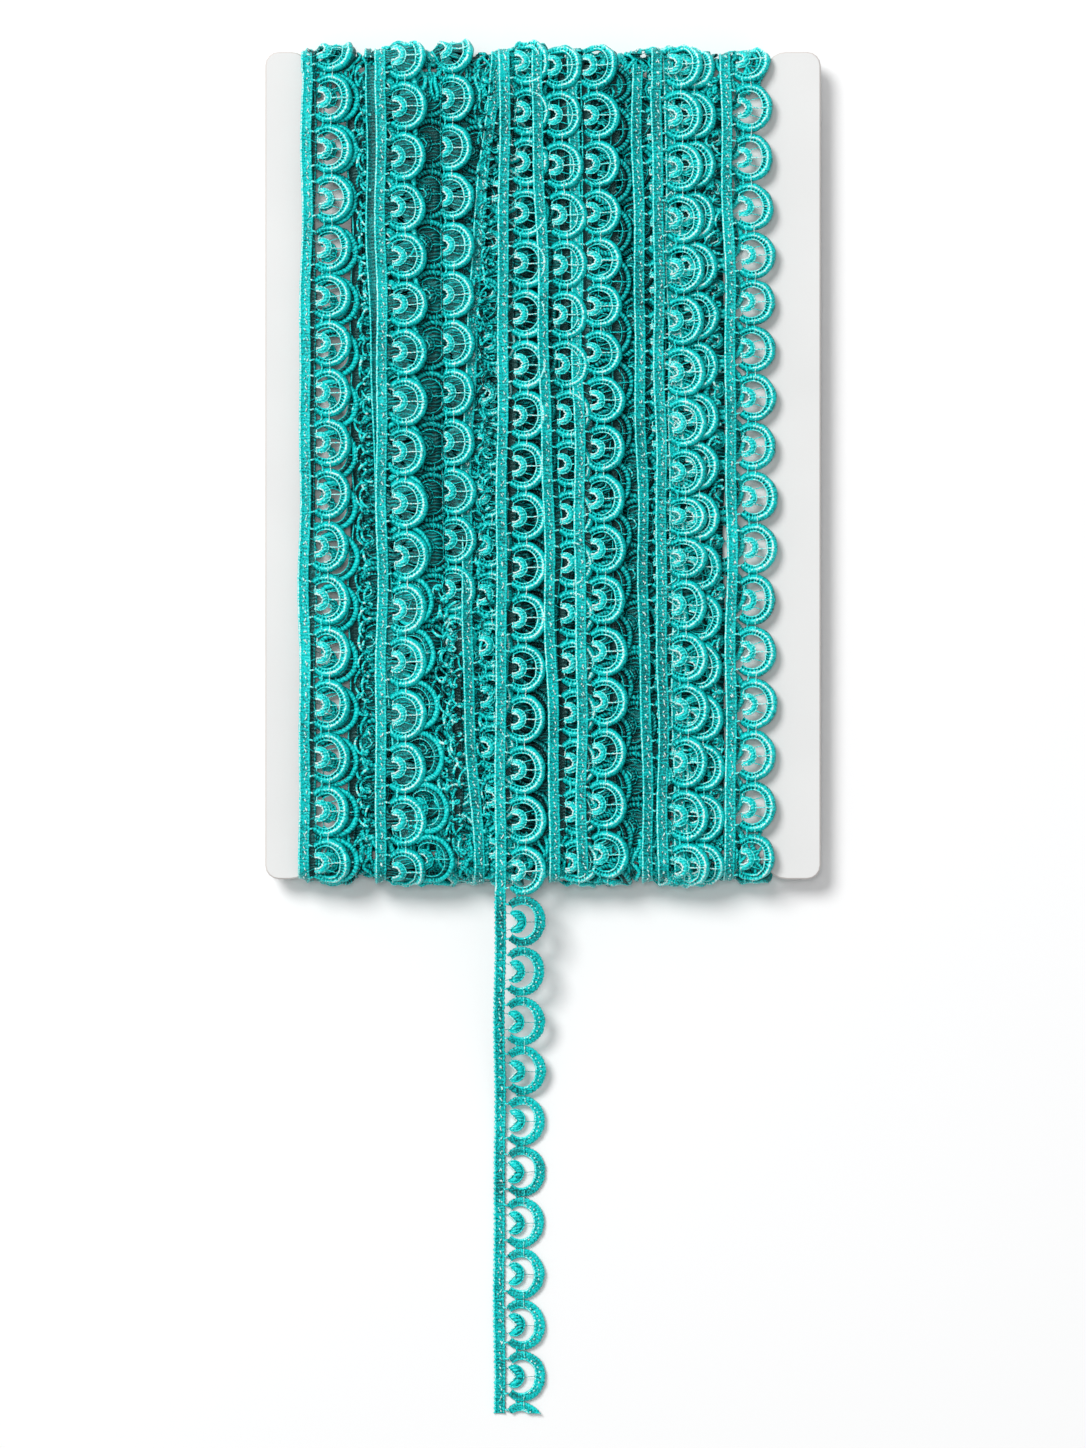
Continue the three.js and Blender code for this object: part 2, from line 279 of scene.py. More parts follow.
def lace_repeat(detail, free=False, webbed=False):
    """One repeat of the lace with u from minus to plus half a repeat.

    The free length lies open on the floor, so its rings are flatter, with a knotted outer edge and
    a row of dots toned near white as painted highlights. A webbed repeat has thin pads that fill its ring
    round the fan.
    """
    lace = Lace()
    half = REPEAT / 2

    # Heading: a flat band between two raised edges.
    steps = (4, 8, 40 if free else 20)[detail]
    u = np.linspace(-half, half, steps + 1)
    section = np.array(HEADING_SECTION)
    rings = np.zeros((steps + 1, len(section), 3))
    rings[..., 0] = u[:, None]
    rings[..., 1:] = section[:, :2]
    if detail == FRONT_DETAIL:
        picot = (0.18 if free else 0.07) * np.sin(2 * np.pi * u * 10 / REPEAT)[:, None]
        rings[:, :3, 1] -= picot
        rings[:, 6:8, 1] += 0.6 * picot
    tone = section[:, 2] * (1 - 0.3 * (section[:, 2] > 1)) * 1.15 if free else section[:, 2]
    lace.skin(rings, u + half, section[None, :, 3], 0.0, tone[None, :], through=True)
    lace.element_done()

    # Ring: a thin inner rim, a laddered groove, a raised crest and a lower outer edge.
    reach = math.radians(127)
    steps = (10, 18, 34)[detail]
    theta = np.linspace(-reach, reach, (steps if not free else 64) + 1)
    bulge = np.sin(np.minimum(np.abs(theta), np.pi / 2)) ** 2
    strip = np.clip((np.abs(theta) - np.pi / 2) / (reach - np.pi / 2), 0, 1) ** 2
    inner = 3.3 + 0.85 * bulge - 0.12 * strip
    crest = 4.82 + 0.44 * bulge - 0.25 * strip
    outer = 6.04 + 0.33 * bulge - 0.5 * strip
    radii = dict(inner=inner, crest=crest, outer=outer, groove=(inner + 0.46 + crest - 0.44) / 2)
    if free:
        radii["outer"] = outer + 0.11 * np.sin(theta * 6.2 / 0.16)
        lace.ring_body(theta, radii, FREE_SECTION)
        # Dots toned near white: painted highlights.
        for number, angle in enumerate((-1.3, -1.02, -0.78, -0.5, -0.24, 0.02, 0.3, 0.55, 0.84, 1.1)):
            dot = ring_point(np.array([angle - 0.05, angle, angle + 0.05]), 4.62 + 0.05 * (number % 3), 0.3)
            lace.cord(dot, [0.12, 0.17 + 0.04 * (number * 2 % 3), 0.1], 5, 1.45)
    elif detail == FRONT_DETAIL:
        lace.ring_body(theta, radii, WOUND_SECTION)
    else:
        middle = (crest + outer) / 2
        lace.cord(ring_point(theta, middle, 0.0), 0.75, (3, 5)[detail], 0.68)
        if detail:
            lace.cord(ring_point(theta, inner + 0.2, 0.14), 0.25, 3, 0.92)
        groove_half = (crest - inner) / 2 + 0.1
        lace.cord(ring_point(theta, (inner + crest) / 2, -0.1), groove_half, 4, 0.2, squash=0.35)
    lace.element_done()

    # Fan: a domed pad with an uneven cord along its mouth, toned pale as painted highlight, and a rim round
    # its back.
    steps = (4, 6, 14)[detail]
    across = np.linspace(-1, 1, steps + 1)
    if free:
        mouth = np.stack([1.95 * across, 5.75 - 1.9 * np.abs(across) ** 1.1, 0.05 + 0 * across], -1)
        hub, size, wide, spread = 5.4, 2.45, 2.8, math.radians(127)
    else:
        angle = across * math.radians(100)
        mouth = np.stack([1.4 * np.sin(angle), 4.6 + 1.7 * np.cos(angle), 0.05 + 0 * across], -1)
        hub, size, wide, spread = 5.4, 2.45, 2.55, math.radians(122)
    back = np.stack([wide * np.sin(across * spread), hub + size * np.cos(across * spread), 0 * across], -1)
    lace.pad(mouth, back, (2, 2, 3)[detail], 0.5 if free else 0.8, 0.6 if free else 0.72)
    if detail:
        wiggle = (0.06 if free else 0.16) * np.sin(np.arange(steps + 1) * 2.2)[:, None] * [0, 1, 0]
        lace.cord(mouth + wiggle + [0, 0, 0.3], 0.2 if free else 0.26, (3, 4, 5)[detail], 1.25)
        lace.cord(back + [0, 0, 0.05], 0.24, (3, 3, 4)[detail], 0.62 if free else 0.75)
    # The webs' low tone is painted shade inside the ring.
    if webbed:
        angle = across * math.radians(112)
        rim = ring_point(angle, 3.4 + 0.85 * np.sin(np.minimum(np.abs(angle), np.pi / 2)) ** 2, -0.2)
        lace.pad(back - [0, 0, 0.2], rim, 1, 0.12, 0.1)
        heading_side = np.stack([2.6 * across, 2.7 + 0 * across, -0.2 + 0 * across], -1)
        lace.pad(mouth - [0, 0, 0.1], heading_side, 1, 0.12, 0.12)
    lace.element_done()

    # Brides: the threads that hold the fan in the ring, and the rings to each other.
    sides = (3, 3, 4)[detail]
    crossing = 10.5 if free else 12.0
    tip_u, tip_v = abs(mouth[0, 0]), mouth[0, 1]
    stem = line((0.1, hub + size - 0.1, 0.2), (0.05, 10.2, 0.32), (0.0, crossing, 0.7), steps=1 + detail)
    lace.cord(stem, 0.09 if free else 0.2, sides, 0.3 if free else 1.0)
    for sign in (1, -1):
        lace.cord(line((sign * 4.2, 3.8, 0.0), (sign * 4.5, 2.5, 0.0)), 0.3, 4, 0.8)
        if detail:
            thin = 0.1 if free else 0.18
            lace.cord(line((sign * tip_u, tip_v, 0.15), (sign * 3.4, 4.6, 0.15)), thin, sides, 0.9)
            lace.cord(line((sign * tip_u, tip_v, 0.05), (sign * 2.2, 2.6, 0.05)), 0.1, 3, 0.5)
            lace.cord(line((sign * 4.6, 7.8, 0.72), (sign * half, 7.7, 0.5)), 0.16, sides, 1.0)
            lace.cord(line((sign * 5.3, 5.6, 0.0), (sign * half, 5.8, 0.0)), 0.3, sides, 0.6)
            if detail == FRONT_DETAIL and not free:
                start = (sign * size * math.sin(0.8), hub + size * math.cos(0.8), 0.0)
                end = (sign * 3.75 * math.sin(0.74), RING_V + 3.75 * math.cos(0.74), 0.1)
                lace.cord(line(start, end), 0.15, 3, 0.6)
    lace.element_done()

    # Slanting stitches down the heading.
    for group in STITCHES:
        if detail == FRONT_DETAIL:
            for along, across, long, slant in group:
                start = (along - long, across - slant, 0.24)
                end = (along + long, across + slant, 0.24)
                lace.cord(line(start, end, steps=2), [0.1, 0.22, 0.1], 4, 1.35)
        lace.element_done()
    return lace.finish()


def plain_repeat():
    """One repeat of an innermost turn, as a plain strip whose tone below zero is painted shade that darkens
    what lies between.
    """
    lace = Lace()
    half = REPEAT / 2
    lace.cord(line((-half, 6.5, 0), (half, 6.5, 0), steps=2), 6.5, 10, -0.16, squash=0.06, through=True)
    for _ in LOOSENESS:
        lace.element_done()
    return lace.finish()


LACE = [lace_repeat(detail) for detail in (COARSE_DETAIL, BACK_DETAIL, FRONT_DETAIL)]
LACE.append(lace_repeat(FRONT_DETAIL, webbed=True))
FREE_LACE = lace_repeat(FRONT_DETAIL, free=True)
PLAIN = plain_repeat()


# The routes of the turns


class Route:
    """A turn's path: points on the heading's edge, and the way out of the cloth at each."""

    def __init__(self):
        self.points = []
        self.outs = []

    def extend(self, x, y, z, out_y, out_z):
        """More points at the end of the route."""
        x, y, z, out_y, out_z = np.broadcast_arrays(x, y, z, out_y, out_z)
        self.points.append(np.stack([x, y, z], -1))
        self.outs.append(np.stack([0 * out_y, out_y, out_z], -1))

    def finish(self):
        """The route as arrays, without doubled points, and the length up to each point."""
        self.points = np.concatenate(self.points)
        self.outs = np.concatenate(self.outs)
        gaps = np.linalg.norm(np.diff(self.points, axis=0), axis=1)
        keep = np.concatenate([[True], gaps > 1e-6])
        self.points, self.outs = self.points[keep], self.outs[keep]
        gaps = np.linalg.norm(np.diff(self.points, axis=0), axis=1)
        self.length = np.concatenate([[0], np.cumsum(gaps)])
        return self

    def at(self, s):
        """The point at a length along the route, and the way out of the cloth there."""
        point = np.stack([np.interp(s, self.length, self.points[:, i]) for i in range(3)], -1)
        out = np.stack([np.interp(s, self.length, self.outs[:, i]) for i in range(3)], -1)
        return point, out / np.linalg.norm(out, axis=-1, keepdims=True)


CARD_HALF = 105.0
# How far from the card's middle a turn reaches at each end, and the radius of its folds.
FRONT_REACH = 105.4
FOLD_RADIUS = 4.2
# A turn's route runs this far on down the front of the following turn.
OVERLAP = 30
# How far the rings stand out over the folds at the far and the near end.
FAR_BULGE = 0.3
NEAR_BULGE = 0.6


def bend(values, y):
    """A value on the curve through its three places: the far end, the middle, the near end."""
    far, middle, near = values
    t = y / CARD_HALF
    return middle + (far - near) / 2 * t + ((far + near) / 2 - middle) * t * t


def table(pairs, y):
    """A value read off a table of places and values, in straight lines between them."""
    places = [place for place, _ in pairs]
    values = [value for _, value in pairs]
    return np.interp(y, places, values)


def turn(heading, level, first, pitch, lean=(0, 0, 0), reach=FRONT_REACH, back=None):
    """The facts of a turn, with its level as the height of the cloth's middle."""
    return dict(heading=heading, level=level, first=first, pitch=pitch, lean=lean, reach=reach, back=back)


# The order is that of the winding. Heading: x of the heading's edge at the far end, the middle
# and the near end. Lean: how far the scalloped side lies above the heading at the same places.
# Back: x half way along the back, and the height of the cloth there.
TURNS = {
    "under_six": turn((9.6, 9.6, 9.6), 10.7, 97.6, 12.8, back=(17.0, 1.9)),
    "under_eight": turn((30.4, 31.8, 33.2), 11.1, 88.5, 12.7, reach=105.0, back=(44.0, 1.9)),
    "ninth": turn((44.5, 46.2, 45.6), 11.0, 90.4, 12.68, (-0.3, -0.3, -0.3), 104.9, back=(44.6, 0.6)),
    "eighth": turn((27.1, 28.3, 29.0), 12.35, 88.5, 12.7, back=(31.5, 0.6)),
    "seventh": turn((22.3, 23.5, 25.4), 11.9, 98.0, 12.7, (-1.4, -1.4, -1.4), back=(18.5, 0.6)),
    "sixth": turn((5.8, 7.7, 8.5), 11.8, 88.5, 12.49, (1.0, 0.4, 0.4), back=(5.0, 0.6)),
    "fifth": turn((-3.3, -0.4, 1.7), 12.2, 88.4, 12.6, (-0.1, -1.6, -1.8), back=(-8.5, 0.6)),
    "under_three": turn((-13.0, -20.6, -17.2), 11.0, 95.0, 12.8, (-1.2, -1.8, -2.2), back=(-31.0, 1.9)),
    "under_two": turn((-45.0, -42.8, -35.3), 11.0, 96.5, 13.1, (0.2, 0.2, 0.2), back=(-47.0, 1.9)),
    "under_one": turn((-60.3, -60.3, -60.2), 10.8, 92.8, 12.91, back=(-59.5, 1.9)),
    "first": turn((-60.9, -61.7, -61.7), 11.9, 92.8, 12.91, (0.2, 0.2, 0.2), 105.0, back=(-53.5, 0.6)),
    "second": turn((-42.8, -42.2, -42.7), 12.4, 90.6, 12.92, back=(-38.5, 0.6)),
    "third": turn((-30.6, -30.0, -29.0), 11.9, 92.6, 12.41, (0.2, 0.2, 0.2), back=(-23.2, 0.6)),
    "last": turn((-11.1, -11.8, -12.3), 12.1, 89.3, 12.8, (-0.9, -0.5, 0.0)),
}
# How far a turn's front lies above or below its level, as places along it and heights.
TURNS["third"]["dip"] = [(-52, -3.0), (-22, 0.0)]
TURNS["sixth"]["dip"] = [(5, 0.0), (30, -0.9)]
TURNS["under_three"]["dip"] = [(-40, 0.9), (0, 0.0), (40, -0.5)]
TURNS["under_two"]["dip"] = [(-60, 0.6), (-20, 0.0)]
# The v up to which the heading's side is tucked down, and how far the rings are spread.
TURNS["third"]["fold"] = 5.2
TURNS["under_one"]["spread"] = 0.6
# Turns beneath that show enough to be made like those on the front.
TURNS["under_three"]["detail"] = FRONT_DETAIL
TURNS["under_eight"]["detail"] = FRONT_DETAIL
# Turns with a thin web between each fan and its ring.
for name in ("second", "third"):
    TURNS[name]["detail"] = WEBBED_DETAIL
# How far the repeats lie up or down from an even count, where the cloth is eased or crushed. The
# values follow shifts that were measured between a render and the photograph.
EASED = [(-98, 0.0), (-59, 1.4), (-31, 2.4), (-3, 3.2), (25, 2.6), (52, 0.6), (80, 0.0)]
CRUSHED = [(-98, 0.0), (-59, 2.3), (-31, 3.3), (-3, -2.0), (25, -1.6), (52, -1.0), (84, -0.5), (98, 0.0)]
SLIPS = dict(first=EASED, second=EASED, sixth=EASED, ninth=EASED, seventh=CRUSHED, eighth=CRUSHED)
for name, slip in SLIPS.items():
    TURNS[name]["slip"] = slip
# How far the rings swell over the far end of the card, in most turns and in those named.
USUAL_SWELL = 0.4
for name, swell in dict(first=1.9, second=1.7, third=1.8, last=1.8, sixth=0.8).items():
    TURNS[name]["swell"] = swell
# How much darker the whole of a turn lies, and its heading alone. Both are painted shade on turns that lie
# beneath others and on headings that lie in shade; the first turn's negative value is a painted highlight on
# its heading.
PAINTED_SHADE_DIMS = dict(under_one=0.38, under_two=0.24, under_three=0.08, under_six=0.6, under_eight=0.04)
for name, dim in PAINTED_SHADE_DIMS.items():
    TURNS[name]["dim"] = dim
for name, dim in dict(first=-0.08, seventh=0.07, eighth=0.08, third=0.06).items():
    TURNS[name]["heading_painted_light"] = dim
# Headings of the turns below those in TURNS. Two of the deep ones are made coarser.
DEEP_HEADINGS = (-49.8, -36.3, -23.5, -10.5, 3.0, 16.0, 29.5)
COARSE_HEADINGS = (-10.5, 3.0)
INNERMOST_HEADINGS = (-49.0, -37.6, -26.2, -14.8, -3.4, 8.0, 19.4, 33.2, 38.2)
# Where crushed threads show between columns. Columns: x at the far end, the middle and the near
# end, half the width, y from and to, the height, and the number of threads.
CREVICES = (
    ((-45.6, -45.2, -44.9), 2.0, 100, -100, 10.4, 3),
    ((-25.0, -24.5, -22.5), 3.4, -30, -100, 11.0, 5),
    ((-14.6, -14.4, -14.4), 2.0, 100, -100, 10.6, 3),
    ((21.2, 21.4, 22.6), 1.7, 100, -100, 8.8, 1),
    ((42.6, 43.3, 43.8), 1.8, 100, -100, 10.4, 3),
)
# The last turn along y: the end of its front, the end of its wound piece, where it begins to slope
# down, where it is flat on the floor, and the cut. Its route runs on a little past the cut.
FRONT_END = -101.0
WOUND_END = -101.2
SLOPE_START = -101.3
FREE_FLAT_START = -178.0
FREE_END = -241.5
PAST_THE_CUT = 12
# How many marks the last turn has on the front, and the length and number of its free repeats.
FRONT_MARKS = 17
FREE_PITCH = 13.05
FREE_REPEATS = 11
# The height of the cloth's middle where the free length lies on the floor and where the outermost
# turns lie behind the card, and the least height of a draped point.
CLOTH_HALF = 0.62
BACK_LEVEL = 0.6
FLOOR_GAP = 0.03
# The height that the wraps round the card's ends go round.
WRAP_MIDDLE = 6.5
# The seeds of the random draws. Those of a group count up from it.
WOUND_SEED = 11
LAST_SEED = 41
FREE_SEED = 43
DEEP_SEED = 71
INNERMOST_SEED = 91
CREVICE_SEED = 131
WRAP_SEED = 151


def level_at(facts, y):
    """The height of a turn's front at y."""
    if "dip" in facts:
        return facts["level"] + table(facts["dip"], y)
    return facts["level"]


def front_run(route, facts, high, low):
    """The front of a turn, from y = high to y = low."""
    y = np.arange(high, low - 0.01, -1.0)
    route.extend(bend(facts["heading"], y), y, level_at(facts, y), 0, 1)


def fold_run(route, x, y, sign, high, low):
    """A turn over the card's end between two heights, downwards at the near end."""
    radius = min(FOLD_RADIUS, (high - low) / 2)
    angle = np.linspace(0, np.pi / 2, 7)
    down = high - radius + radius * np.cos(angle)
    up = low + radius - radius * np.cos(angle[::-1])
    out_y = sign * np.sin(angle)
    runs = [
        (y + sign * radius * np.sin(angle), down, out_y, np.cos(angle)),
        (y + sign * radius * np.sin(angle[::-1]), up, out_y[::-1], -np.cos(angle[::-1])),
    ]
    if sign > 0:
        runs = [tuple(part[::-1] for part in run) for run in runs[::-1]]
    for run in runs:
        route.extend(x, *run)


def turn_route(facts, following):
    """Front, fold, back, fold, and the start of the following turn's front."""
    route = Route()
    reach = facts["reach"]
    straight = reach - FOLD_RADIUS
    front_run(route, facts, straight, -straight)
    near_x = bend(facts["heading"], -straight)
    middle_x, back_level = facts["back"]
    fold_run(route, near_x, -straight, -1, level_at(facts, -straight), back_level)
    next_straight = following["reach"] - FOLD_RADIUS
    far_x = bend(following["heading"], next_straight)
    y = np.arange(-straight, next_straight + 0.01, 1.0)
    share = (y + straight) / (straight + next_straight)
    x = near_x + (far_x - near_x) * share + (middle_x - (near_x + far_x) / 2) * 4 * share * (1 - share)
    route.extend(x, y, back_level, 0, -1)
    fold_run(route, far_x, next_straight, 1, level_at(following, next_straight), back_level)
    front_run(route, following, next_straight - 1, next_straight - OVERLAP)
    return route.finish()


def spans_of(facts, following, route):
    """The marks along the route between a turn's repeats, and how many repeats the front has."""
    straight = facts["reach"] - FOLD_RADIUS
    pitch = facts["pitch"]
    y = facts["first"] + pitch / 2
    while y - pitch > straight:
        y -= pitch
    while y + pitch < straight:
        y += pitch
    front = np.arange(y, -straight - 0.01, -pitch)
    if "slip" in facts:
        front = front + table(facts["slip"], front)
    on_front = route.points[:, 1][: int(2 * straight) + 1]
    s_front = np.interp(-front, -on_front, route.length[: len(on_front)])
    next_straight = following["reach"] - FOLD_RADIUS
    y_next = following["first"] + following["pitch"] / 2
    while y_next + following["pitch"] < next_straight:
        y_next += following["pitch"]
    tail = OVERLAP - (next_straight - y_next)
    s_last = route.length[-1] - tail
    count = max(1, round((s_last - s_front[-1]) / REPEAT))
    rest = np.linspace(s_front[-1], s_last, count + 1)[1:]
    return np.concatenate([s_front, rest]), len(s_front) - 1


def wave(rng, s, lengths, size):
    """A smooth wander along the route."""
    total = 0
    for length in lengths:
        total = total + size / len(lengths) * np.sin(2 * np.pi * s / length + rng.uniform(0, 2 * np.pi))
    return total


def drape(lace, route, spans, facts, seed, wander=1.0):
    """The repeats between the marks in spans, laid along a route and joined end to end."""
    rng = np.random.default_rng(seed)
    repeats = len(spans) - 1
    size = len(lace.verts)
    u, v, w = (lace.verts[:, i][None] + np.zeros((repeats, 1)) for i in range(3))
    shift = np.clip(rng.normal(0, 1, (repeats, lace.elements, 3)), -2, 2) * np.array(LOOSENESS)
    shift = shift[:, lace.element]
    u = u + shift[..., 0]
    v = v + shift[..., 1]
    w = w + shift[..., 2]
    s = spans[:-1, None] + (u / REPEAT + 0.5) * np.diff(spans)[:, None]
    ring_side = np.clip((v - 2.9) / 10, 0, 1)
    fine = 0.7 + 0.3 * ring_side
    v = v + wave(rng, s + 0.7 * v, (61, 37), 0.35 * wander)
    v = v + wave(rng, s - 1.3 * v, (3.1, 4.7), 0.09) * fine
    s = s + wave(rng, v + 0.4 * s, (4.3, 7.1), 0.16) * ring_side
    w = w + wave(rng, s + v, (5.3, 9.7, 17), 0.16 * fine)
    w = w + wave(rng, s, (83, 47), 0.22 * wander)
    point, out = route.at(s)
    front = np.clip(out[..., 2], 0, 1) ** 2
    bulge = np.where(out[..., 1] > 0, facts.get("far_bulge", FAR_BULGE), NEAR_BULGE)
    fold = 1 - np.abs(out[..., 2])
    w = w + fold * (bulge * np.clip((v - 2.8) / 1.6, 0, 1) + wave(rng, v + 0 * s, (6.1, 3.7), 0.5))
    across, away = v + facts.get("spread", 0) * ring_side * front, w
    if facts.get("fold"):
        tucked = np.clip(facts["fold"] - v, 0, None) * front
        across = across + 0.75 * tucked
        away = away - 0.92 * tucked
    lean = bend(facts["lean"], point[..., 1]) * front
    away = away + lean * across / TRIM_WIDTH
    position = point + out * away[..., None]
    position[..., 0] += across
    position[..., 2] = np.maximum(position[..., 2], FLOOR_GAP)
    faces = lace.faces[None] + (np.arange(repeats) * size)[:, None, None]
    join = np.arange(repeats * size)
    for k in range(1, repeats):
        join[lace.starts + k * size] = join[lace.ends + (k - 1) * size]
    faces = join[faces.reshape(-1, 3)]
    own_start = rng.uniform(0, 9, (repeats, 1))
    running_on = REPEAT * np.arange(repeats)[:, None]
    yarn = np.broadcast_to(lace.yarn, (repeats, size, 3)).copy()
    yarn[..., 0] += np.where(lace.element > 0, own_start, running_on)
    # A turn's dim and its heading's value are painted shade (a painted highlight where negative) on turns
    # that lie beneath and on shaded headings, and a plain darker tone on the free length; the random draw is
    # each repeat's own tone.
    band = np.where(lace.element == 0, facts.get("heading_painted_light", 0.0), 0.0)
    tone = lace.tone + rng.normal(0, 0.035, (repeats, 1)) - facts.get("dim", 0.0) - band
    return position.reshape(-1, 3), faces, yarn.reshape(-1, 3), tone.reshape(-1)


def crushed(places, half_width, high, low, level, count, seed):
    """Threads of crushed lace that loop their way down a crevice between two columns."""
    rng = np.random.default_rng(seed)
    lace = Lace()
    for number in range(count):
        s = np.arange(0, high - low, 0.36)
        loop = rng.uniform(3.6, 6.2)
        size = rng.uniform(0.85, 1.5)
        phase = 2 * np.pi * s / loop + 0.8 * wave(rng, s, (11, 17), 1.0) + rng.uniform(0, 6)
        y = high - s + size * np.sin(phase)
        x = bend(places, y) + wave(rng, s, (23, 9, 14), 0.75 * half_width)
        x = x + half_width * (2 * (number + 0.5) / count - 1) * 0.6 + size * np.cos(phase)
        z = level + wave(rng, s, (7, 4), 0.5) + 0.3 * np.sin(phase / 2) + rng.uniform(-0.5, 0.3)
        radius = rng.uniform(0.3, 0.44) + 0.1 * wave(rng, s, (1.7, 2.9), 1.0)
        # A low tone with a random wander along each thread; the low tone is painted shade of the crevice.
        tone = rng.uniform(0.2, 0.5) + wave(rng, s, (2.3, 3.7, 1.3), 0.9)
        lace.cord(np.stack([x, y, z], -1), radius, 4, tone[:, None])
    return lace.part()


def wraps(left, right, step, seed):
    """Threads that fill the turns' folds over both ends of the card."""
    rng = np.random.default_rng(seed)
    lace = Lace()
    angle = np.linspace(0, np.pi, 9)
    straight = np.linspace(7, 1, 4)
    for sign in (1, -1):
        for middle in np.arange(left, right, step):
            reach = rng.uniform(102.6, 105.2)
            radius = rng.uniform(3.0, 3.9)
            base = reach - radius
            y = np.concatenate([base - straight, base + radius * np.sin(angle), base - straight[::-1]])
            over = WRAP_MIDDLE + radius + 0 * straight
            round_the_end = WRAP_MIDDLE + radius * np.cos(angle)
            under = WRAP_MIDDLE - radius + 0 * straight
            z = np.concatenate([over, round_the_end, under])
            s = np.arange(len(y)) * 1.3 + rng.uniform(0, 9)
            x = middle + rng.uniform(-0.5, 0.5) + wave(rng, s, (5.0, 8.0), 1.3)
            # The threads' low tones are painted shade in the folds.
            lace.cord(np.stack([x, sign * y, z], -1), rng.uniform(0.35, 0.62), 5, rng.uniform(0.1, 0.55))
    return lace.part()


def gather(parts):
    """Several parts as one."""
    position, faces, yarn, tone = zip(*parts)
    firsts = np.cumsum([0] + [len(side) for side in position[:-1]])
    faces = [side + first for side, first in zip(faces, firsts)]
    return tuple(np.concatenate(sides) for sides in (position, faces, yarn, tone))


def piece_of(name, part, material, closed=False):
    """A mesh object from positions in millimetres, triangles and the two yarn attributes."""
    position, faces, yarn, tone = part
    used = np.zeros(len(position), bool)
    used[faces] = True
    number = np.cumsum(used) - 1
    faces = number[faces]
    mesh = bpy.data.meshes.new(name)
    mesh.vertices.add(int(used.sum()))
    mesh.vertices.foreach_set("co", (position[used] * MM).astype(np.float32).ravel())
    mesh.loops.add(3 * len(faces))
    mesh.loops.foreach_set("vertex_index", faces.astype(np.int32).ravel())
    mesh.polygons.add(len(faces))
    mesh.polygons.foreach_set("loop_start", np.arange(0, 3 * len(faces), 3, dtype=np.int32))
    mesh.polygons.foreach_set("use_smooth", np.ones(len(faces), bool))
    mesh.update(calc_edges=True)
    mesh.attributes.new("yarn", "FLOAT_VECTOR", "POINT").data.foreach_set(
        "vector", yarn[used].astype(np.float32).ravel()
    )
    mesh.attributes.new("tone", "FLOAT", "POINT").data.foreach_set("value", tone[used].astype(np.float32))
    mesh.materials.append(material)
    joined = bmesh.new()
    joined.from_mesh(mesh)
    bmesh.ops.remove_doubles(joined, verts=joined.verts, dist=1e-7)
    if closed:
        open_edges = [edge for edge in joined.edges if edge.is_boundary]
        bmesh.ops.holes_fill(joined, edges=open_edges, sides=0)
        bmesh.ops.triangulate(joined, faces=joined.faces)
    joined.to_mesh(mesh)
    joined.free()
    mesh.validate()
    piece = bpy.data.objects.new(name, mesh)
    bpy.context.scene.collection.objects.link(piece)
    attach(piece, "root")
    return piece


# Materials


def nodes_of(name):
    """A new material with its shader, a function that adds nodes to it, and its links."""
    material = bpy.data.materials.new(name)
    material.use_nodes = True
    tree = material.node_tree
    tree.nodes.clear()
    output = tree.nodes.new("ShaderNodeOutputMaterial")
    shader = tree.nodes.new("ShaderNodeBsdfPrincipled")
    tree.links.new(shader.outputs[0], output.inputs[0])

    def node(kind, inputs=None, **settings):
        made = tree.nodes.new(kind)
        for key, value in settings.items():
            setattr(made, key, value)
        for key, value in (inputs or {}).items():
            if isinstance(value, bpy.types.NodeSocket):
                tree.links.new(value, made.inputs[key])
            else:
                made.inputs[key].default_value = value
        return made

    return material, shader, node, tree.links


def ramp(node, factor, stops):
    """The colour that a factor has on a ramp of places and colours."""
    made = node("ShaderNodeValToRGB", {0: factor})
    elements = made.color_ramp.elements
    while len(elements) < len(stops):
        elements.new(0.5)
    for element, (position, color) in zip(elements, stops):
        element.position = position
        element.color = color
    return made.outputs[0]


# The length of thread in which its ply goes once round.
PLY_LENGTH = 0.92


